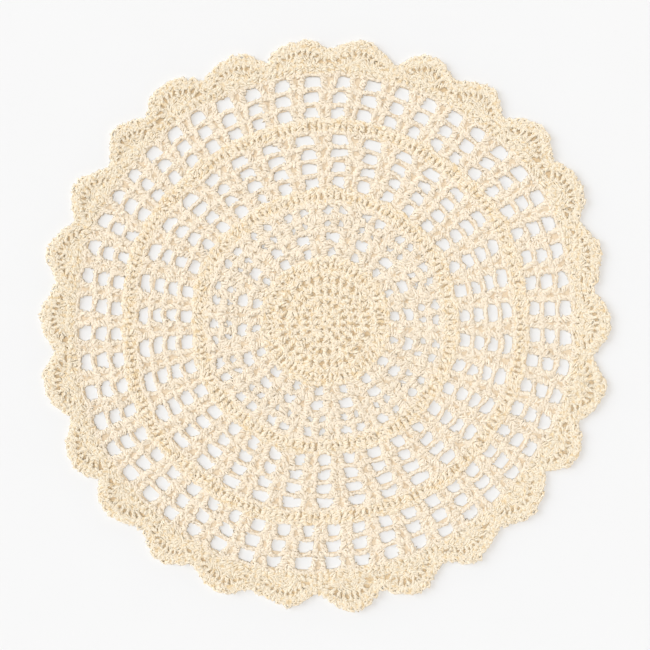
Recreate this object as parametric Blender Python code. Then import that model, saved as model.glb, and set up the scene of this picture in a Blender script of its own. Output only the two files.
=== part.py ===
"""Crocheted lace doily: one round, flat mat of cotton yarn with a rim of 26 scallops.

The mat is worked in one piece from its centre outwards, so it is one solid: a sheet
as thick as its double crochet stitches, lying flat, with the scalloped rim as its
outline and the gaps of its two wide nets cut through.  The origin is at the centre of
the underside, +Z is up and +X points to the right-hand side of the mat.
"""
import math
import random
from collections import namedtuple

import bpy

MM = 0.001

# Driving dimensions, in metres.
MAT_THICKNESS = 3.0 * MM        # two turns of yarn deep, as double crochet is
RIM_RADIUS = 190.0 * MM         # the mean reach of the scallop tips
POINTS_PER_SCALLOP = 10

# The rim, one row for each scallop, going round from the +X side: where the scallop
# starts, the radius of the notch it starts from and the radius of its tip.
Scallop = namedtuple("Scallop", "start_deg notch_mm tip_mm")
SCALLOPS = [
    Scallop(7.0, 179.0, 189.5),
    Scallop(21.5, 181.0, 194.0),
    Scallop(35.5, 186.0, 194.5),
    Scallop(48.5, 180.0, 191.5),
    Scallop(61.5, 182.0, 190.5),
    Scallop(75.0, 177.0, 188.5),
    Scallop(89.0, 181.5, 188.5),
    Scallop(102.5, 177.0, 187.5),
    Scallop(116.0, 180.0, 192.0),
    Scallop(130.5, 181.0, 189.5),
    Scallop(144.0, 175.5, 189.0),
    Scallop(158.0, 178.0, 190.5),
    Scallop(172.0, 179.0, 190.0),
    Scallop(186.0, 180.5, 191.5),
    Scallop(200.5, 178.5, 192.0),
    Scallop(214.5, 182.5, 192.0),
    Scallop(228.5, 181.5, 192.0),
    Scallop(241.5, 181.5, 192.0),
    Scallop(255.5, 180.5, 190.0),
    Scallop(269.0, 180.0, 192.5),
    Scallop(282.5, 182.0, 190.5),
    Scallop(296.0, 177.5, 187.0),
    Scallop(310.5, 178.5, 187.5),
    Scallop(325.5, 176.5, 190.5),
    Scallop(338.5, 179.5, 192.0),
    Scallop(352.5, 180.0, 189.5),
]
SCALLOP_ROUNDNESS = 1.15        # over 1 softens the notch, under 1 squares the tip
MEAN_REACH = 0.5 * MM * sum(s.notch_mm + s.tip_mm for s in SCALLOPS) / len(SCALLOPS)

# The gaps of the two wide nets, one row for each round of them from the inside out.
# A gap lies between two V stitches and under the chain that joins their tops.
GapRound = namedtuple("GapRound", "gaps first_deg radius_mm width_mm height_mm")
MIDDLE_NET = [
    GapRound(35, 2.8, 92.1, 7.4, 6.8),
    GapRound(35, 2.8, 102.2, 8.3, 6.2),
    GapRound(35, 3.0, 111.5, 9.9, 6.6),
    GapRound(35, 3.3, 120.7, 10.8, 6.8),
]
OUTER_NET = [
    GapRound(52, 3.4, 138.6, 8.6, 7.4),
    GapRound(52, 3.1, 149.1, 9.3, 7.2),
    GapRound(52, 2.8, 159.4, 10.0, 7.8),
]

# Half a gap's outline, as parts of its half width and half height: flat along the
# chain below it, and drawn in at the top where the V stitches spread.
GapCorner = namedtuple("GapCorner", "across along")
GAP_CORNERS = [
    GapCorner(0.66, -1.00),
    GapCorner(1.00, -0.56),
    GapCorner(0.90, 0.40),
    GapCorner(0.42, 1.00),
]
GAP_SIZE_SPREAD = 0.07          # how uneven the hand-worked gaps are, as a part
GAP_DRIFT = 0.35 * MM           # how far a gap strays from its even place

# The mat isn't quite round or centred: its nets are drawn out where the rim reaches
# far, and its middle sits a little to one side.
PULL_SPREAD_DEG = 12.0          # how wide a stretch of rim pulls on one place
MIDDLE_SHIFT = (0.5 * MM, 0.9 * MM)

COTTON_CREAM = (0.83, 0.69, 0.46, 1.0)
COTTON_ROUGHNESS = 0.9


def clear_scene():
    for thing in list(bpy.data.objects):
        bpy.data.objects.remove(thing, do_unlink=True)


def cotton_material():
    cotton = bpy.data.materials.new("cream_cotton_yarn")
    cotton.use_nodes = True
    shader = cotton.node_tree.nodes["Principled BSDF"]
    shader.inputs["Base Color"].default_value = COTTON_CREAM
    shader.inputs["Roughness"].default_value = COTTON_ROUGHNESS
    shader.inputs["Metallic"].default_value = 0.0
    return cotton


def rim_reach(angle):
    """How far the rim reaches around this angle, averaged over the nearest scallops."""
    total = 0.0
    weight = 0.0
    for scallop in SCALLOPS:
        away = (math.degrees(angle) - scallop.start_deg + 180.0) % 360.0 - 180.0
        near = math.exp(-(away / PULL_SPREAD_DEG) ** 2)
        total += near * 0.5 * (scallop.notch_mm + scallop.tip_mm) * MM
        weight += near
    return total / weight


def lie(radius, angle):
    """The place in the flat mat of a point that was worked at this radius and angle."""
    outwards = radius / RIM_RADIUS
    inwards = 1.0 - outwards
    reach = radius + (rim_reach(angle) - MEAN_REACH) * outwards ** 2
    return (reach * math.cos(angle) + MIDDLE_SHIFT[0] * inwards,
            reach * math.sin(angle) + MIDDLE_SHIFT[1] * inwards)


def rim_outline():
    """The scalloped edge: each scallop swells from one notch to its tip and back."""
    points = []
    for this, following in zip(SCALLOPS, SCALLOPS[1:] + SCALLOPS[:1]):
        sweep = (following.start_deg - this.start_deg) % 360.0
        for step in range(POINTS_PER_SCALLOP):
            along = step / POINTS_PER_SCALLOP
            notch = this.notch_mm + (following.notch_mm - this.notch_mm) * along
            middle = 0.5 * (this.notch_mm + following.notch_mm)
            swell = math.sin(math.pi * along) ** SCALLOP_ROUNDNESS
            radius = (notch + (this.tip_mm - middle) * swell) * MM
            angle = math.radians(this.start_deg + sweep * along)
            points.append((radius * math.cos(angle), radius * math.sin(angle)))
    return points


def gap_outline(radius, angle, width, height):
    """One gap, its flat side towards the centre of the mat."""
    right_side = [(corner.across, corner.along) for corner in GAP_CORNERS]
    left_side = [(-across, along) for across, along in reversed(right_side)]
    points = []
    for across, along in right_side + left_side:
        point_radius = radius + 0.5 * height * along
        turn = 0.5 * width * across / point_radius
        points.append(lie(point_radius, angle - turn))
    return points


def net_gaps(rounds, seed):
    """Every gap of one net, a little uneven as handwork is."""
    hand = random.Random(seed)
    outlines = []
    for row in rounds:
        for number in range(row.gaps):
            angle = math.radians(row.first_deg + 360.0 * number / row.gaps)
            radius = row.radius_mm * MM + hand.uniform(-GAP_DRIFT, GAP_DRIFT)
            angle += hand.uniform(-GAP_DRIFT, GAP_DRIFT) / radius
            width = row.width_mm * MM * (1.0 + hand.uniform(-1.0, 1.0) * GAP_SIZE_SPREAD)
            height = row.height_mm * MM * (1.0 + hand.uniform(-1.0, 1.0) * GAP_SIZE_SPREAD)
            outlines.append(gap_outline(radius, angle, width, height))
    return outlines


def add_loop(curve, points):
    loop = curve.splines.new("POLY")
    loop.points.add(len(points) - 1)
    for point, (x, y) in zip(loop.points, points):
        point.co = (x, y, 0.0, 1.0)
    loop.use_cyclic_u = True


def make_doily(collection):
    """The mat as a flat outline with its gaps, filled on both faces and thickened."""
    curve = bpy.data.curves.new("doily", "CURVE")
    curve.dimensions = "2D"
    curve.fill_mode = "BOTH"
    curve.extrude = 0.5 * MAT_THICKNESS
    add_loop(curve, rim_outline())
    for outline in net_gaps(MIDDLE_NET, seed=35) + net_gaps(OUTER_NET, seed=52):
        add_loop(curve, outline)
    curve.materials.append(cotton_material())
    doily = bpy.data.objects.new("doily", curve)
    doily.location = (0.0, 0.0, 0.5 * MAT_THICKNESS)
    collection.objects.link(doily)
    return doily


clear_scene()
lace = bpy.data.collections.new("crocheted_lace_doily")
bpy.context.scene.collection.children.link(lace)
make_doily(lace)
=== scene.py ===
"""A crocheted lace doily of cream cotton yarn, laid flat: stitches, finish, light and camera."""
import math
from collections import namedtuple

import bmesh
import bpy
import numpy as np
from mathutils import Matrix


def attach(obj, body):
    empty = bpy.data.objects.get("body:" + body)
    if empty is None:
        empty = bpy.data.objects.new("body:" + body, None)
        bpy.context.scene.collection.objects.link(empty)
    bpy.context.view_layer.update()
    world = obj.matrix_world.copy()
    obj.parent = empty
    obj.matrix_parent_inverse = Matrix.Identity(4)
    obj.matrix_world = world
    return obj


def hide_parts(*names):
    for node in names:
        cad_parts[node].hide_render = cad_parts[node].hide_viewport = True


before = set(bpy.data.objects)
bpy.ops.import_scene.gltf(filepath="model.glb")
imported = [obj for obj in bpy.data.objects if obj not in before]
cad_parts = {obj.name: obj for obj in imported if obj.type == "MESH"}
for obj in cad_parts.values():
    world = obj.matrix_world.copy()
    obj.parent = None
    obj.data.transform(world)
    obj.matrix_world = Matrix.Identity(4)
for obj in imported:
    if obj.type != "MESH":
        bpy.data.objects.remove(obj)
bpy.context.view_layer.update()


# ---------------------------------------------------------------------------------------
# Centre disc.  Worked in three-ply cotton out from a ring of chain: rounds of 8, 16, 24
# and 32 double crochets that stand apart with small pits between them, then a close round
# of 72.  Each round is a row of posts, closed at its outer side by a chain of loops.

MM = 0.001
TURN = 2.0 * math.pi

YARN = 1.8 * MM                  # thickness of the yarn, as tight as it is in a stitch
STRANDS = 3                      # how many lengths of it lie side by side in a stitch
MIDDLE_HEIGHT = 1.55 * MM        # the middle of the stitches, about half the mat's thickness
RIM_RADIUS = 190.0 * MM          # the mean reach of the scallops' tips
MIDDLE_SHIFT = (0.5 * MM, 0.9 * MM)  # how far the middle of the mat sits to one side
INSIDE_RIM = 172.0 * MM          # the solid has only its scalloped edge beyond this
ANGLE_DECIMALS = 5               # to so many, the edge's upper and lower corners agree
PULL_SPREAD = 8.5                # degrees of rim that pull on one place
CURL_STARTS = 163.0 * MM         # the radius from which the rim lifts off the table,
CURL_WIDTH = 22.0 * MM           # the width over which it does,
CURL_HEIGHT = 1.3 * MM           # and how far it is lifted at its tips
ROUND_STEPS = 1440               # places round the mat at which its plan is worked out

# The scalloped edge, read from the mat's solid: how far it reaches at each angle.
corners = np.array([corner.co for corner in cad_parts["doily"].data.vertices])
reaches = np.hypot(corners[:, 0], corners[:, 1])
edge = corners[reaches > INSIDE_RIM]
edge_angles = np.round(np.arctan2(edge[:, 1], edge[:, 0]) % TURN, ANGLE_DECIMALS)
rim_angles, first_of_each = np.unique(edge_angles, return_index=True)
rim_reaches = np.hypot(edge[:, 0], edge[:, 1])[first_of_each]


def rim(angle):
    """How far the scalloped edge reaches at an angle."""
    return np.interp(angle, rim_angles, rim_reaches, period=TURN)


# Where the edge reaches far it draws the mat out with it, evened over its neighbourhood.
even_angles = np.arange(ROUND_STEPS) * TURN / ROUND_STEPS
away = (np.arange(ROUND_STEPS) * 360.0 / ROUND_STEPS + 180.0) % 360.0 - 180.0
nearness = np.exp(-0.5 * (away / PULL_SPREAD) ** 2)
smooth_rim = np.fft.ifft(np.fft.fft(rim(even_angles)) * np.fft.fft(nearness)).real
even_pull = smooth_rim / nearness.sum() - rim(even_angles).mean()


def pull(angle):
    """How far the rim draws the mat out at an angle, or lets it in."""
    return np.interp(angle, even_angles, even_pull, period=TURN)


hand = np.random.default_rng(26)


class Drift:
    """How far the hand-worked mat strays from its even plan, slowly changing round it."""

    LEAN = 1.5                   # how much the waves of it slant from the middle to the rim

    def __init__(self, slowest, fastest, size):
        self.waves = np.arange(slowest, fastest)
        self.starts = hand.uniform(0.0, TURN, len(self.waves))
        self.leans = hand.normal(0.0, self.LEAN, len(self.waves))
        self.size = size * math.sqrt(2.0 / len(self.waves))

    def at(self, angle, outwards):
        turn = self.starts + self.waves * angle[..., None] + self.leans * outwards[..., None]
        return self.size * np.cos(turn).sum(axis=-1)


sideways = Drift(slowest=1, fastest=5, size=3.2 * MM)
outward = Drift(slowest=1, fastest=9, size=1.6 * MM)
RIM_HOLD = 8                     # how suddenly the drift dies away at the rim, as a power


def lie(angle, radius, height):
    """The place of what was worked at an angle and radius, as the uneven mat lies."""
    angle, radius = np.broadcast_arrays(angle, radius)
    outwards = radius / RIM_RADIUS
    free = 1.0 - outwards ** RIM_HOLD
    reach = radius + pull(angle) * outwards ** 2
    reach = reach + outward.at(angle, outwards) * outwards * free
    angle = angle + sideways.at(angle, outwards) * outwards ** 2 * free / radius
    x = reach * np.cos(angle) + MIDDLE_SHIFT[0] * (1.0 - outwards)
    y = reach * np.sin(angle) + MIDDLE_SHIFT[1] * (1.0 - outwards)
    return np.stack([x, y, height + 0.0 * x], axis=-1)


def curl(paths):
    """The scalloped rim curls up a little off the table."""
    outwards = np.hypot(paths[..., 0], paths[..., 1]) - CURL_STARTS
    rise = CURL_HEIGHT * np.clip(outwards / CURL_WIDTH, 0.0, 1.0)
    return paths + np.stack([0.0 * rise, 0.0 * rise, rise], axis=-1)


class Crochet:
    """Collects lengths of yarn and turns them into one piece."""

    SIDES = 4
    PLIES = 3
    PLY_TURN = 6.5 * MM          # yarn to one turn of its plies
    PLY_DEPTH = 0.10             # how far they stand out, as a part
    FLATNESS = 0.75              # its height, as a part of its width
    THINNEST = 0.55              # the limits of its swelling, as parts
    THICKEST = 1.45
    PRESSED = 0.4 * MM           # how near the table its underside is pressed flat

    def __init__(self, kink=0.25 * MM, swell=0.22):
        self.kink = kink         # how far the yarn strays at each step
        self.swell = swell       # and how uneven its thickness is, as a part
        self.points = []
        self.plies = []          # where each point lies round its yarn and along it
        self.faces = []
        self.starts = []
        self.point_count = 0
        self.corner_count = 0

    def lay(self, paths, thickness, closed=False):
        """Lays yarn along paths of shape (strands, steps, 3); a closed one has no ends."""
        strands, steps, _ = paths.shape
        paths = curl(paths) + hand.normal(0.0, self.kink, paths.shape)
        if closed:
            ahead = np.roll(paths, -1, axis=1) - np.roll(paths, 1, axis=1)
        else:
            ahead = np.gradient(paths, axis=1)
        length = np.linalg.norm(ahead, axis=2, keepdims=True)
        ahead = ahead / length
        side = np.cross(np.array([0.0, 0.0, 1.0]), ahead)
        side /= np.linalg.norm(side, axis=2, keepdims=True)
        over = np.cross(ahead, side)
        run = np.cumsum(length[..., 0], axis=1) * (1.0 if closed else 0.5)
        around = np.arange(self.SIDES) * TURN / self.SIDES
        offset = (side[:, :, None, :] * np.cos(around)[:, None]
                  + over[:, :, None, :] * self.FLATNESS * np.sin(around)[:, None])
        swell = hand.normal(0.0, self.swell, (strands, steps, 1, 1))
        swell = 1.0 + swell - 0.5 * (np.roll(swell, 1, axis=1) + np.roll(swell, -1, axis=1))
        swell = np.clip(swell, self.THINNEST, self.THICKEST)
        winding = self.PLIES * (around - TURN * run[..., None] / self.PLY_TURN)
        plump = (1.0 + self.PLY_DEPTH * np.cos(winding))[..., None]
        rings = paths[:, :, None, :] + offset * 0.5 * thickness * swell * plump
        # What would lie under the table is pressed flat on it instead.
        rings[..., 2] = 0.5 * (rings[..., 2] + np.hypot(rings[..., 2], self.PRESSED))
        shape = (strands, steps, self.SIDES)
        plies = np.stack([np.broadcast_to(np.cos(around), shape),
                          np.broadcast_to(np.sin(around), shape),
                          np.broadcast_to(run[..., None] / MM, shape)], axis=-1)
        number = self.point_count + np.arange(strands * steps * self.SIDES)
        number = number.reshape(strands, steps, self.SIDES)
        here = number if closed else number[:, :-1]
        there = np.roll(number, -1, axis=1) if closed else number[:, 1:]
        quads = np.stack([here, np.roll(here, -1, axis=2),
                          np.roll(there, -1, axis=2), there], axis=-1)
        self.add_faces(quads.reshape(-1, 4))
        if not closed:
            self.add_faces(number[:, 0, ::-1])
            self.add_faces(number[:, -1, :])
        self.points.append(rings.reshape(-1, 3))
        self.plies.append(plies.reshape(-1, 3))
        self.point_count += strands * steps * self.SIDES

    def add_faces(self, faces):
        self.starts.append(self.corner_count + np.arange(len(faces)) * faces.shape[1])
        self.faces.append(faces.reshape(-1))
        self.corner_count += faces.size

    def piece(self, name, finish):
        """Makes the yarn laid so far into one smooth piece of the mat."""
        mesh = bpy.data.meshes.new(name)
        points = np.concatenate(self.points).astype(np.float32)
        faces = np.concatenate(self.faces).astype(np.int32)
        starts = np.concatenate(self.starts).astype(np.int32)
        mesh.vertices.add(len(points))
        mesh.vertices.foreach_set("co", points.ravel())
        mesh.loops.add(len(faces))
        mesh.loops.foreach_set("vertex_index", faces)
        mesh.polygons.add(len(starts))
        mesh.polygons.foreach_set("loop_start", starts)
        mesh.update(calc_edges=True)
        mesh.validate()
        mesh.shade_smooth()
        ply = mesh.attributes.new("ply", "FLOAT_VECTOR", "POINT")
        ply.data.foreach_set("vector", np.concatenate(self.plies).astype(np.float32).ravel())
        mesh.materials.append(finish)
        piece = bpy.data.objects.new(name, mesh)
        bpy.context.scene.collection.objects.link(piece)
        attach(piece, "root")
        return piece


WANDER_WAVES = 7
WANDER_SUM = 2.6                 # what so many waves add up to where they agree well


def uneven(angle, size, slowest=3, fastest=60):
    """A smooth wander round the mat, of about this size, as handwork has."""
    total = 0.0
    for waves in hand.integers(slowest, fastest, WANDER_WAVES):
        total = total + np.cos(waves * angle + hand.uniform(0.0, TURN))
    return total * size / WANDER_SUM


CHAIN_REACH = 1.15 * MM          # how far the chain's strands swing to either side
CHAIN_RISE = 0.6 * MM            # and how far they pass over and under each other
LOBE_LENGTH = 1.65 * MM          # from one strand to the next along the chain
STEPS_PER_SWING = 6
CHAIN_WANDER = 0.8 * MM          # how far the chain strays from its round,
CHAIN_LIFT = 0.12 * MM           # how far up and down,
CHAIN_TENSION = 0.15             # how uneven its swings are, as a part of their reach,
CHAIN_LAG = 0.6                  # and how far one strand lags behind another, in radians


def chain(crochet, radius, reach=CHAIN_REACH, lobe_length=LOBE_LENGTH, height=MIDDLE_HEIGHT,
          rise=CHAIN_RISE, yarn=YARN):
    """A closed round of chain: three strands plaited over and under each other."""
    # The chain is walked in even steps, however its round is drawn out.
    rough = lie(even_angles, radius, 0.0)
    sides = np.linalg.norm(np.roll(rough, -1, axis=0) - rough, axis=1)
    swings = int(round(sides.sum() / lobe_length / STRANDS))
    evenly = np.arange(swings * STEPS_PER_SWING) / (swings * STEPS_PER_SWING)
    walked = np.concatenate([[0.0], np.cumsum(sides)]) / sides.sum()
    angle = np.interp(evenly, walked, np.append(even_angles, TURN))
    radius = np.interp(angle, even_angles, radius + 0.0 * even_angles, period=TURN)
    reach = np.interp(angle, even_angles, reach + 0.0 * even_angles, period=TURN)
    middle = lie(angle, radius, 0.0)
    ahead = np.roll(middle, -1, axis=0) - np.roll(middle, 1, axis=0)
    ahead /= np.linalg.norm(ahead, axis=1, keepdims=True)
    outwards = np.stack([ahead[:, 1], -ahead[:, 0]], axis=1)
    wander = uneven(angle, CHAIN_WANDER, slowest=12, fastest=70)
    height = height + uneven(angle, CHAIN_LIFT)
    tight = 1.0 + uneven(angle, CHAIN_TENSION, slowest=20, fastest=300)
    strands = []
    for number in range(STRANDS):
        swing = TURN * (swings * evenly + number / STRANDS)
        swing = swing + uneven(angle, CHAIN_LAG, slowest=20, fastest=200)
        strand = middle.copy()
        strand[:, :2] += outwards * (reach * tight * np.sin(swing) + wander)[:, None]
        strand[:, 2] = height + rise * np.sin(2.0 * swing)
        strands.append(strand)
    crochet.lay(np.array(strands), yarn, closed=True)


# One post, at five places from its foot to its top, the middle one of them its pit: how
# far its strands swing to the sides, and how high they lie.
SWING_REACH = [1.9 * MM, 1.8 * MM, 1.6 * MM, 1.7 * MM, 1.9 * MM]
POST_HEIGHT = [0.9 * MM, 1.3 * MM, 1.6 * MM, 1.5 * MM, 1.2 * MM]
POST_RISE = 0.6 * MM             # how far its strands pass over and under each other
PINCH = 0.3                      # the part of the swing that is left at the pit
TURN_LENGTH = 4.6 * MM           # post to one turn of its strands
TURN_SPREAD = 0.12               # how unevenly they wind, as a part,
FULLNESS_SPREAD = 0.15           # how unevenly they swing,
STITCH_STRAY = 0.25 * MM         # how far a post's ends stray
PITCH_STRAY = 0.3 * MM           # and how far a whole post does along its round
FOOT_SUNK = 0.5 * MM             # how far it is worked into the round below it


def posts(crochet, feet, tops, full=1.0, pit=0.5, spread=0.16, pinch=PINCH, steps=12, low=1.0,
          flare=1.0, yarn=YARN):
    """Stitches from their feet to their tops, each three strands that wind together: the
    two legs of the stitch and the yarn that was laid over round them.  A stitch is drawn
    in at its pit, over the spread to both sides of it and down to the pinch, and widens
    to the flare at its top, all as parts of its length or of its width."""
    count = len(feet)
    feet = feet + hand.normal(0.0, STITCH_STRAY, feet.shape)
    tops = tops + hand.normal(0.0, STITCH_STRAY, tops.shape)
    feet[:, 2] = tops[:, 2] = 0.0
    length = np.linalg.norm(tops - feet, axis=1, keepdims=True)
    ahead = (tops - feet) / length
    feet = feet - FOOT_SUNK * ahead
    across = np.stack([-ahead[:, 1], ahead[:, 0], 0.0 * ahead[:, 0]], axis=1)[:, None]
    begin = hand.uniform(0.0, TURN, count)[:, None]
    turns = hand.normal(1.0, TURN_SPREAD, count)[:, None] * length / TURN_LENGTH
    turns *= hand.choice([-1.0, 1.0], count)[:, None]
    fullness = full * hand.normal(1.0, FULLNESS_SPREAD, count)[:, None]
    along = np.linspace(0.0, 1.0, steps) + 0.0 * begin
    places = [0.0, pit - spread, pit, pit + spread, 1.0]
    drawn_in = np.interp(along, places, [1.0, 1.0, pinch, 1.0, flare])
    reach = np.interp(along, places, SWING_REACH) * fullness * drawn_in
    middle = np.interp(along, places, POST_HEIGHT)
    for number in range(STRANDS):
        twist = begin + TURN * (turns * along + number / STRANDS)
        path = feet[:, None] + (tops - feet)[:, None] * along[..., None]
        path = path + across * (reach * np.sin(twist))[..., None]
        path[..., 2] = low * (middle + POST_RISE * np.cos(twist))
        crochet.lay(path, yarn)


def close_round(crochet, stitches, inner, outer, full=1.0, pinch=PINCH):
    """A round of evenly worked double crochets and the chain of their tops."""
    angles = np.arange(stitches) * TURN / stitches
    angles = angles + hand.normal(0.0, PITCH_STRAY, stitches) / outer
    posts(crochet, lie(angles, inner, 0.0), lie(angles, outer, 0.0), full, pinch=pinch)
    chain(crochet, outer)


class Socket:
    """A socket that arithmetic can be written with: each operator adds a Math node."""

    def __init__(self, finish, link):
        self.finish, self.link = finish, link

    def math(self, operation, first, second):
        return self.finish.node("ShaderNodeMath", {"operation": operation}, {0: first, 1: second})

    def __add__(self, other):
        return self.math("ADD", self, other)

    def __radd__(self, other):
        return self.math("ADD", other, self)

    def __sub__(self, other):
        return self.math("SUBTRACT", self, other)

    def __rsub__(self, other):
        return self.math("SUBTRACT", other, self)

    def __mul__(self, other):
        return self.math("MULTIPLY", self, other)

    def __rmul__(self, other):
        return self.math("MULTIPLY", other, self)


class Finish:
    """The nodes of one material or of the room, made by their type, settings and values."""

    def __init__(self, owner):
        owner.use_nodes = True
        self.owner = owner
        self.nodes = owner.node_tree.nodes
        self.links = owner.node_tree.links

    def node(self, kind, settings=None, values=None, output=0):
        made = self.nodes.new(kind)
        for key, value in (settings or {}).items():
            setattr(made, key, value)
        self.fill(made, values or {})
        return Socket(self, made.outputs[output])

    def fill(self, made, values):
        for key, value in values.items():
            if isinstance(value, Socket):
                self.links.new(value.link, made.inputs[key])
            else:
                made.inputs[key].default_value = value


COTTON_LIGHT = (0.915, 0.81, 0.65, 1.0)  # the yarn's lit tops
COTTON_SHADE = (0.81, 0.635, 0.395, 1.0)  # painted shade: its colour down between the strands and low down
SHEEN_TINT = (1.0, 0.88, 0.7, 1.0)
SHADED_BELOW = -0.2 * MM           # the height at or below which the yarn has its full painted shade
LIT_ABOVE = 1.4 * MM           # and the height above which it has its lit colour
KNOBS_PER_METRE = 480.0          # the knobs and creases of the loosely spun yarn
FUZZ_PER_METRE = 1100.0
CREASE_SHADE = 1.5               # painted shade: how far a crease turns the yarn to its shaded colour, painted highlight: how far a crown facing up turns it to the lit one, and painted light and shade: how far the swell and groove of a ply do
CROWN_HIGHLIGHT = 0.2                # how far its crown turns to the light one,
PLY_PAINTED_LIGHT = 0.05                 # and how far the swell of a ply does
RELIEF_DEPTH = 0.7 * MM
RELIEF_STRENGTH = 0.35


def cotton_finish(name, light, shaded, yarn_relief_and_shading=1.0):
    """Matte undyed cotton with spun plies and fuzz.  Its colour carries painted light and
    shade: lighter where it faces up and lies high, tan low down and in its creases.
    """
    finish = Finish(bpy.data.materials.new(name))
    place = finish.node("ShaderNodeTexCoord", output="Object")
    normal = finish.node("ShaderNodeNewGeometry", output="Normal")
    facing = finish.node("ShaderNodeSeparateXYZ", values={0: normal}, output="Z")
    height = finish.node("ShaderNodeSeparateXYZ", values={0: place}, output="Z")
    # Painted highlight: where the yarn faces up, towards the lamps, it takes more of its lit
    # colour.
    crown_highlight = finish.node("ShaderNodeMapRange", {"interpolation_type": "SMOOTHSTEP"},
                        {"Value": facing, "From Min": -0.2, "From Max": 0.9})
    # Painted shade: the lower the yarn lies, the nearer its colour is to the shaded one.
    lit_by_height = finish.node("ShaderNodeMapRange", {"interpolation_type": "SMOOTHSTEP"},
                         {"Value": height, "From Min": SHADED_BELOW, "From Max": LIT_ABOVE})
    knobs = finish.node("ShaderNodeTexVoronoi", {"voronoi_dimensions": "3D", "feature": "F1"},
                        {"Vector": place, "Scale": KNOBS_PER_METRE}, output="Distance")
    ply = finish.node("ShaderNodeAttribute", {"attribute_name": "ply"}, output="Vector")
    side = finish.node("ShaderNodeSeparateXYZ", values={0: ply}, output="X")
    over = finish.node("ShaderNodeSeparateXYZ", values={0: ply}, output="Y")
    round_yarn = finish.node("ShaderNodeMath", {"operation": "ARCTAN2"}, {0: over, 1: side})
    run = finish.node("ShaderNodeSeparateXYZ", values={0: ply}, output="Z")
    winding = Crochet.PLIES * (round_yarn - run * (TURN * MM / Crochet.PLY_TURN))
    # Painted light and shade: the swell of each ply a little lighter, its grooves a little
    # darker.
    ply_light_and_shade = finish.node("ShaderNodeMath", {"operation": "COSINE"}, {0: winding})
    # Painted shade: the creases between the knobs of yarn are darkened towards the shaded colour.
    crease_shade = CREASE_SHADE * yarn_relief_and_shading * knobs * knobs * knobs
    # The colour runs from the painted shade to the lit colour by these painted light and shade
    # masks.
    lit = lit_by_height * (0.95 + CROWN_HIGHLIGHT * crown_highlight - crease_shade) + PLY_PAINTED_LIGHT * ply_light_and_shade
    colour = finish.node("ShaderNodeMix", {"data_type": "RGBA"},
                         {0: lit, 6: shaded, 7: light}, output=2)
    fuzz = finish.node("ShaderNodeTexNoise", {"noise_dimensions": "3D"},
                       {"Vector": place, "Scale": FUZZ_PER_METRE, "Detail": 2.0})
    relief = finish.node("ShaderNodeBump",
                         values={"Height": 0.5 * fuzz - knobs, "Distance": RELIEF_DEPTH,
                                 "Strength": RELIEF_STRENGTH * yarn_relief_and_shading},
                         output="Normal")
    surface = finish.nodes["Principled BSDF"]
    finish.fill(surface, {"Base Color": colour, "Normal": relief, "Roughness": 0.88,
                          "Specular IOR Level": 0.25, "Sheen Weight": 1.0,
                          "Sheen Roughness": 0.5, "Sheen Tint": SHEEN_TINT})
    return finish.owner


CLOSE_RELIEF_AND_SHADING = 1.2            # how strongly its bumps and the painted shade in its creases show in close work
cotton = cotton_finish("cream_cotton", COTTON_LIGHT, COTTON_SHADE, CLOSE_RELIEF_AND_SHADING)

# The rounds from the inside out: how many stitches, the radius of their tops, and how
# full they are against a plain stitch.
DiscRound = namedtuple("DiscRound", "stitches top full")
DISC_RING = 2.2 * MM             # the radius of the ring of chain that they start from
DISC_TOP = 41.6 * MM
DISC_ROUNDS = [
    DiscRound(8, 8.6 * MM, 1.1),
    DiscRound(16, 15.8 * MM, 1.2),
    DiscRound(24, 23.8 * MM, 1.3),
    DiscRound(32, 32.3 * MM, 1.35),
    DiscRound(72, DISC_TOP, 0.9),
]
DISC_PINCH = 0.12                # its posts are drawn in more, so its pits are wider
centre_disc = Crochet()
chain(centre_disc, DISC_RING)
below = DISC_RING
for row in DISC_ROUNDS:
    close_round(centre_disc, row.stitches, below, row.top, row.full, DISC_PINCH)
    below = row.top
centre = centre_disc.piece("centre_disc", cotton)


# ---------------------------------------------------------------------------------------
# Inner net.  Two rounds of 18 V stitches, each V two double crochets worked into one
# chain space, then two that set a single post between the Vs.  The yarn isn't drawn tight
# here, so it puffs up and strays, lies lower, and leaves small gaps under the chains.

OPEN_YARN = 1.85 * MM
OPEN_KINK = 0.38 * MM
OPEN_SWELL = 0.4
NET_LOW = 0.8                    # the height of the open work, as a part of the close work's
NET_FULLNESS = 1.06              # how full a post in a net is against one in close work
NET_PIT = 0.6                    # it is drawn in here, as a part of its length,
NET_PIT_SPREAD = 0.25            # over so much to either side,
NET_PINCH = 0.65                 # but less than in close work, for it stands free,
NET_FLARE = 1.25                 # and it is so much wider where it joins the chain over it
V_STRAY = 0.7 * MM               # how far the top of a V strays to one side
NET_CHAIN_FULLNESS = 0.92        # how wide the chains are in a net, as a part,
CHAIN_BEAT = 0.8                 # how much wider over the Vs and narrower over the gaps,
BOW = 0.45 * MM                  # and how far they bow outwards over the gaps
HEART_HALF = 0.9 * MM            # how wide the heart of the stitches lies in a post, by half
CHAIN_HALF = 1.3 * MM            # and in a chain
openings = []                    # the outlines that are left open in it


def opening(left, right, low, high):
    """One opening, from the angles of its lower and upper corners at both its sides."""
    low_left, high_left = left
    low_right, high_right = right
    high_middle = 0.5 * (high_left + high_right)
    angles = np.array([low_left, low_right, high_right, high_middle, high_left])
    radii = np.array([low, low, high, high, high])
    openings.append(lie(angles, radii, 0.0))


# One round of a net: the radius of its tops, the angle of its first gap, how far the two
# feet of a V and its two tops are from its middle, how full its stitches are against the
# wide nets', and whether single posts stand between its Vs.
NetRound = namedtuple("NetRound", "outer first_degrees foot top full single",
                      defaults=(1.0, False))


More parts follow.
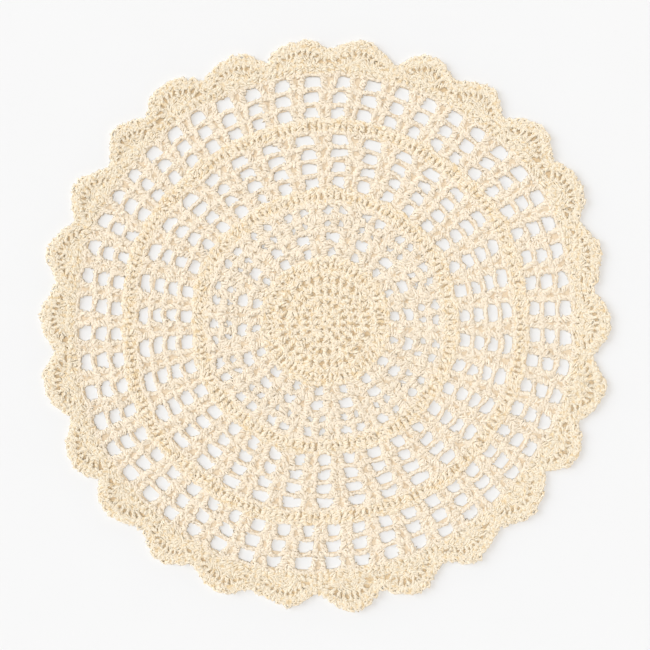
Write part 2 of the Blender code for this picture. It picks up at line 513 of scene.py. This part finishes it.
def net_round(crochet, columns, inner, row, low):
    """A round of V stitches with a chain space between each, and singles if asked."""
    outer = row.outer
    pitch = TURN / columns
    middles = np.radians(row.first_degrees) + (np.arange(columns) + 0.5) * pitch
    strayed = middles + hand.normal(0.0, V_STRAY, columns) / inner
    feet = [middles - row.foot / inner, middles + row.foot / inner]
    tops = [strayed - row.top / outer, strayed + row.top / outer]
    if row.single:
        feet.append(middles + 0.5 * pitch)
        tops.append(middles + 0.5 * pitch)
    posts(crochet, lie(np.concatenate(feet), inner, 0.0), lie(np.concatenate(tops), outer, 0.0),
          full=NET_FULLNESS * row.full, pit=NET_PIT, spread=NET_PIT_SPREAD, pinch=NET_PINCH,
          low=low, flare=NET_FLARE, yarn=OPEN_YARN)
    beat = np.cos(columns * (even_angles - middles[0]))
    reach = CHAIN_REACH * (NET_CHAIN_FULLNESS * row.full ** 2 + CHAIN_BEAT * beat)
    chain(crochet, outer - BOW * beat, reach, height=low * MIDDLE_HEIGHT,
          rise=low * CHAIN_RISE, yarn=OPEN_YARN)
    gap_low = inner + CHAIN_HALF
    gap_high = outer - CHAIN_HALF
    post_low = HEART_HALF / gap_low
    post_high = HEART_HALF / gap_high
    for middle in middles:
        following = middle + pitch
        right = (middle + row.foot / gap_low + post_low, middle + row.top / gap_high + post_high)
        left = (following - row.foot / gap_low - post_low,
                following - row.top / gap_high - post_high)
        if row.single:
            between = middle + 0.5 * pitch
            opening((between - post_low, between - post_high), right, gap_low, gap_high)
            opening(left, (between + post_low, between + post_high), gap_low, gap_high)
        else:
            opening(left, right, gap_low, gap_high)


# The nets' yarn: its lit colour, and the paler painted shade of its low parts and creases.
OPEN_LIGHT = (0.89, 0.785, 0.64, 1.0)
OPEN_SHADE = (0.86, 0.73, 0.55, 1.0)
OPEN_RELIEF_AND_SHADING = 0.5
open_cotton = cotton_finish("open_cream_cotton", OPEN_LIGHT, OPEN_SHADE, OPEN_RELIEF_AND_SHADING)


def net(name, columns, inner, rounds, low=NET_LOW):
    """A whole net, each of its rounds worked into the chain of the one inside it."""
    crochet = Crochet(OPEN_KINK, OPEN_SWELL)
    for row in rounds:
        net_round(crochet, columns, inner, row, low)
        inner = row.outer
    return crochet.piece(name, open_cotton)


INNER_NET_LOW = 0.85             # it lies a little higher than the wide nets
INNER_NET_TOP = 78.1 * MM
INNER_NET_ROUNDS = [
    NetRound(50.6 * MM, 5.0, 2.0 * MM, 4.2 * MM, 1.27),
    NetRound(60.3 * MM, 5.0, 2.3 * MM, 4.6 * MM, 1.27),
    NetRound(68.7 * MM, 5.0, 2.0 * MM, 4.0 * MM, 1.45, single=True),
    NetRound(INNER_NET_TOP, 5.0, 1.8 * MM, 4.0 * MM, 1.3, single=True),
]
net_a = net("inner_net", 18, DISC_TOP, INNER_NET_ROUNDS, INNER_NET_LOW)


# ---------------------------------------------------------------------------------------
# Inner band.  One close round of 140 double crochets, which closes the inner net and
# carries the middle one.

INNER_BAND_TOP = 87.1 * MM
inner_band = Crochet()
close_round(inner_band, 140, INNER_NET_TOP, INNER_BAND_TOP)
band_a = inner_band.piece("inner_band", cotton)


# ---------------------------------------------------------------------------------------
# Middle net.  Four rounds of 35 V stitches, each V into the space of the one below, so
# that they stand in columns and the gaps widen towards the rim.

MIDDLE_NET_TOP = 125.4 * MM
MIDDLE_NET_ROUNDS = [
    NetRound(97.4 * MM, 2.8, 1.5 * MM, 3.5 * MM),
    NetRound(106.9 * MM, 2.8, 1.6 * MM, 4.2 * MM),
    NetRound(116.0 * MM, 3.0, 1.6 * MM, 4.5 * MM),
    NetRound(MIDDLE_NET_TOP, 3.3, 1.7 * MM, 5.0 * MM),
]
net_b = net("middle_net", 35, INNER_BAND_TOP, MIDDLE_NET_ROUNDS)


# ---------------------------------------------------------------------------------------
# Outer band.  One close round of 208 double crochets, four to each column of the net
# outside it.

OUTER_BAND_TOP = 133.5 * MM
outer_band = Crochet()
close_round(outer_band, 208, MIDDLE_NET_TOP, OUTER_BAND_TOP)
band_b = outer_band.piece("outer_band", cotton)


# ---------------------------------------------------------------------------------------
# Outer net.  Three rounds of 52 V stitches with chain spaces between.

OUTER_NET_TOP = 164.9 * MM
OUTER_NET_ROUNDS = [
    NetRound(143.9 * MM, 3.4, 1.4 * MM, 3.2 * MM),
    NetRound(154.2 * MM, 3.1, 1.4 * MM, 3.5 * MM),
    NetRound(OUTER_NET_TOP, 2.8, 1.5 * MM, 4.2 * MM),
]
net_c = net("outer_net", 52, OUTER_BAND_TOP, OUTER_NET_ROUNDS)


# ---------------------------------------------------------------------------------------
# Scalloped border.  A round of single crochet carries 26 fans, each of nine double
# crochets worked close together, with slots between them near their tops.  Two short
# posts hold each notch between the fans, and a chain runs over all their tops.

BASE_STITCHES = 260              # ten single crochets to each scallop
BASE_TOP = 170.3 * MM
FAN_STITCHES = 9
FAN_DEPTH = 7.0 * MM             # from the tops of a fan to the edge of the mat
FAN_SPACE = 0.10                 # the part of a scallop left free on both sides of its fan
FAN_FOOT = 5.0 * MM              # how wide the row of a fan's feet is, by half
JOIN_ANGLE = 0.85 * TURN / 360.0  # from a notch to the short posts on both its sides

lower = (rim_reaches < np.roll(rim_reaches, 1)) & (rim_reaches < np.roll(rim_reaches, -1))
notches = rim_angles[lower]
scallops = list(zip(notches, np.append(notches[1:], notches[0] + TURN)))


def from_edge(angle, inset):
    """The radius at which something was worked that lies this far inside the edge."""
    reach = rim(angle) - inset
    return reach - pull(angle) * (reach / RIM_RADIUS) ** 2


# The rim's lit colour; its low parts and creases take the close work's painted shade.
RIM_LIGHT = (0.88, 0.785, 0.63, 1.0)
rim_cotton = cotton_finish("rim_cotton", RIM_LIGHT, COTTON_SHADE, CLOSE_RELIEF_AND_SHADING)
border = Crochet()
base_stitches = np.arange(BASE_STITCHES) * TURN / BASE_STITCHES
posts(border, lie(base_stitches, OUTER_NET_TOP, 0.0), lie(base_stitches, BASE_TOP, 0.0),
      full=1.1, pinch=0.9, steps=7)
chain(border, BASE_TOP)
for notch, following in scallops:
    tops = notch + (following - notch) * np.linspace(FAN_SPACE, 1.0 - FAN_SPACE, FAN_STITCHES)
    feet = 0.5 * (notch + following)
    feet = feet + np.linspace(-FAN_FOOT, FAN_FOOT, FAN_STITCHES) / BASE_TOP
    joins = notch + np.array([-JOIN_ANGLE, JOIN_ANGLE])
    posts(border, lie(joins, BASE_TOP, 0.0), lie(joins, from_edge(joins, FAN_DEPTH), 0.0),
          spread=0.3, pinch=0.15, steps=8)
    posts(border, lie(feet, BASE_TOP, 0.0), lie(tops, from_edge(tops, FAN_DEPTH), 0.0),
          full=1.15, pit=0.72, spread=0.19, pinch=0.05)
chain(border, from_edge(even_angles, FAN_DEPTH))
fans = border.piece("scallop_fans", rim_cotton)


# ---------------------------------------------------------------------------------------
# Edging.  One close round of single crochet over the fans, fourteen to each, with its
# stitches slanting as the work turns and its loops as the edge of the mat.

EDGE_STITCHES = 14
EDGE_CHAIN = 3.7 * MM            # from the middle of the outermost chain to the edge
EDGE_REACH = 1.8 * MM            # its loops are wider and longer than other chains',
EDGE_LOBE = 3.2 * MM
EDGE_BUMPS = 0.8 * MM            # and it goes in and out
SLANT = math.radians(0.5)
edging = Crochet()
for notch, following in scallops:
    share = (np.arange(EDGE_STITCHES) + 0.5) / EDGE_STITCHES
    middles = notch + (following - notch) * share
    posts(edging, lie(middles - SLANT, from_edge(middles, FAN_DEPTH), 0.0),
          lie(middles + SLANT, from_edge(middles, EDGE_CHAIN), 0.0), steps=6)
bumps = uneven(even_angles, EDGE_BUMPS, slowest=100, fastest=220)
chain(edging, from_edge(even_angles, EDGE_CHAIN - bumps), EDGE_REACH, EDGE_LOBE)
edge_rows = edging.piece("edging", rim_cotton)


# ---------------------------------------------------------------------------------------
# Heart of the mat.  Inside the yarn that shows, each stitch is packed with the turns of
# cotton that are drawn through it; they are seen only as the depth of the pits and between
# the legs of the Vs.  One thin layer lies under the close rounds, one higher in the nets.
# Both are coloured a darker tan than the yarn: painted shade for the pits and the V gaps.

HEART_THICKNESS = 0.5 * MM
HEART_HEIGHT = 0.55 * MM         # the middle of the layer in the close rounds
OPEN_HEART_HEIGHT = 0.9 * MM     # and in the nets
HEART_INSET = 3.4 * MM           # it stops this far inside the edge
# Painted shade: the heart's colours are darker than the yarn's, for the shade in the pits and
# between the legs of the Vs; the nets' layer is a little paler.
HEART_SHADE_PALE = (0.69, 0.53, 0.335, 1.0)
HEART_SHADE_DARK = (0.61, 0.47, 0.30, 1.0)
NET_HEART_PALE_SHADE = (0.76, 0.62, 0.45, 1.0)
NET_HEART_DARK_SHADE = (0.57, 0.44, 0.30, 1.0)
HEART_STEPS = 780                # thirty corners to each scallop
JOINED = 0.001 * MM              # corners as near as this are one

# From the edge inwards, close work and net take turns between these outlines.
heart_angles = np.arange(HEART_STEPS) * TURN / HEART_STEPS
heart_rounds = [from_edge(heart_angles, HEART_INSET), OUTER_NET_TOP, OUTER_BAND_TOP,
                MIDDLE_NET_TOP, INNER_BAND_TOP, INNER_NET_TOP, DISC_TOP]
close_loops = [lie(heart_angles, radius, 0.0) for radius in heart_rounds]
net_loops = close_loops[1:] + openings

inside = bmesh.new()
for finish_number, (loops, middle) in enumerate([(close_loops, HEART_HEIGHT),
                                                 (net_loops, OPEN_HEART_HEIGHT)]):
    outline = bpy.data.curves.new("heart_outline", "CURVE")
    outline.dimensions = "2D"
    outline.fill_mode = "BOTH"
    outline.extrude = 0.5 * HEART_THICKNESS
    for loop in loops:
        spline = outline.splines.new("POLY")
        spline.points.add(len(loop) - 1)
        for point, (x, y, z) in zip(spline.points, loop):
            point.co = (x, y, 0.0, 1.0)
        spline.use_cyclic_u = True
    drawn = bpy.data.objects.new("heart_outline", outline)
    bpy.context.scene.collection.objects.link(drawn)
    bpy.context.view_layer.update()
    filled = bpy.data.meshes.new_from_object(drawn)
    bpy.data.objects.remove(drawn)
    filled.transform(Matrix.Translation((0.0, 0.0, middle)))
    filled.polygons.foreach_set("material_index", [finish_number] * len(filled.polygons))
    inside.from_mesh(filled)
    bpy.data.meshes.remove(filled)
bmesh.ops.remove_doubles(inside, verts=inside.verts, dist=JOINED)

heart_mesh = bpy.data.meshes.new("heart_of_the_mat")
heart_mesh.materials.append(cotton_finish("close_heart_painted_shade", HEART_SHADE_PALE, HEART_SHADE_DARK))
heart_mesh.materials.append(cotton_finish("net_heart_painted_shade", NET_HEART_PALE_SHADE,
                                          NET_HEART_DARK_SHADE))
inside.to_mesh(heart_mesh)
inside.free()
flat = np.array([corner.co for corner in heart_mesh.vertices])
heart_mesh.vertices.foreach_set("co", curl(flat).astype(np.float32).ravel())
heart_mesh.update()
heart = bpy.data.objects.new("heart_of_the_mat", heart_mesh)
bpy.context.scene.collection.objects.link(heart)
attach(heart, "root")
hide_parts("doily")


# ---------------------------------------------------------------------------------------
# The table, light and camera.  A plain pale sheet, a cool window from the upper left, a
# warm soft lamp straight overhead and pale walls all round, and a camera looking straight
# down from above.

FLOOR_SIDE = 40.0
FLOOR_SHADES = [(0.79, 0.79, 0.79, 1.0), (0.80, 0.80, 0.80, 1.0)]
FLOOR_PATCHES = 900.0            # how many patches of faintly uneven shade lie across it
bpy.ops.mesh.primitive_plane_add(size=FLOOR_SIDE)
floor = bpy.context.object
floor.name = "floor"
paper = Finish(bpy.data.materials.new("pale_floor"))
patches = paper.node("ShaderNodeTexNoise", values={"Scale": FLOOR_PATCHES, "Detail": 2.0})
shade = paper.node("ShaderNodeMix", {"data_type": "RGBA"},
                   {0: patches, 6: FLOOR_SHADES[0], 7: FLOOR_SHADES[1]}, output=2)
paper.fill(paper.nodes["Principled BSDF"],
           {"Base Color": shade, "Roughness": 0.9, "Specular IOR Level": 0.0})
floor.data.materials.append(paper.owner)

COOL_LIGHT = (0.90, 1.0, 1.12)
WARM_LIGHT = (1.03, 1.0, 0.964)


def soft_light(name, strength, colour, breadth, tilt, turn):
    """A broad light from far off: its breadth, its lean from straight overhead and the
    way that it comes from, in degrees."""
    lamp = bpy.data.lights.new(name, "SUN")
    lamp.energy = strength
    lamp.color = colour
    lamp.angle = math.radians(breadth)
    light = bpy.data.objects.new(name, lamp)
    light.rotation_euler = (0.0, math.radians(tilt), math.radians(turn))
    bpy.context.scene.collection.objects.link(light)


soft_light("window", 1.48, COOL_LIGHT, breadth=40.0, tilt=-55.0, turn=-15.0)
soft_light("ceiling", 2.082, WARM_LIGHT, breadth=25.0, tilt=0.0, turn=0.0)

WALLS_OVERHEAD = 0.1             # how bright the room is straight overhead,
WALLS_LOW_DOWN = 1.59            # and how much brighter it is low down all round
world = bpy.data.worlds.new("room")
room = Finish(world)
direction = room.node("ShaderNodeTexCoord", output="Generated")
height = room.node("ShaderNodeSeparateXYZ", values={0: direction}, output="Z")
low_down = room.node("ShaderNodeMapRange", values={"Value": height, "To Min": 1.0, "To Max": 0.0})
walls = WALLS_OVERHEAD + WALLS_LOW_DOWN * low_down * low_down * low_down
room.fill(room.nodes["Background"], {"Color": (*WARM_LIGHT, 1.0), "Strength": walls})
bpy.context.scene.world = world
bpy.context.scene.view_settings.view_transform = "Standard"

CAMERA_HEIGHT = 1.0125
CAMERA_OFFSET = 1.4 * MM         # the mat lies this much above the middle of the view
VIEW_WIDTH = 0.429               # how much of the table the view takes in
SENSOR_WIDTH = 36.0              # in millimetres, as the camera wants it
camera_data = bpy.data.cameras.new("camera")
camera_data.sensor_width = SENSOR_WIDTH
camera_data.lens = SENSOR_WIDTH * CAMERA_HEIGHT / VIEW_WIDTH
camera = bpy.data.objects.new("camera", camera_data)
camera.location = (0.0, -CAMERA_OFFSET, CAMERA_HEIGHT)
bpy.context.scene.collection.objects.link(camera)
bpy.context.scene.camera = camera
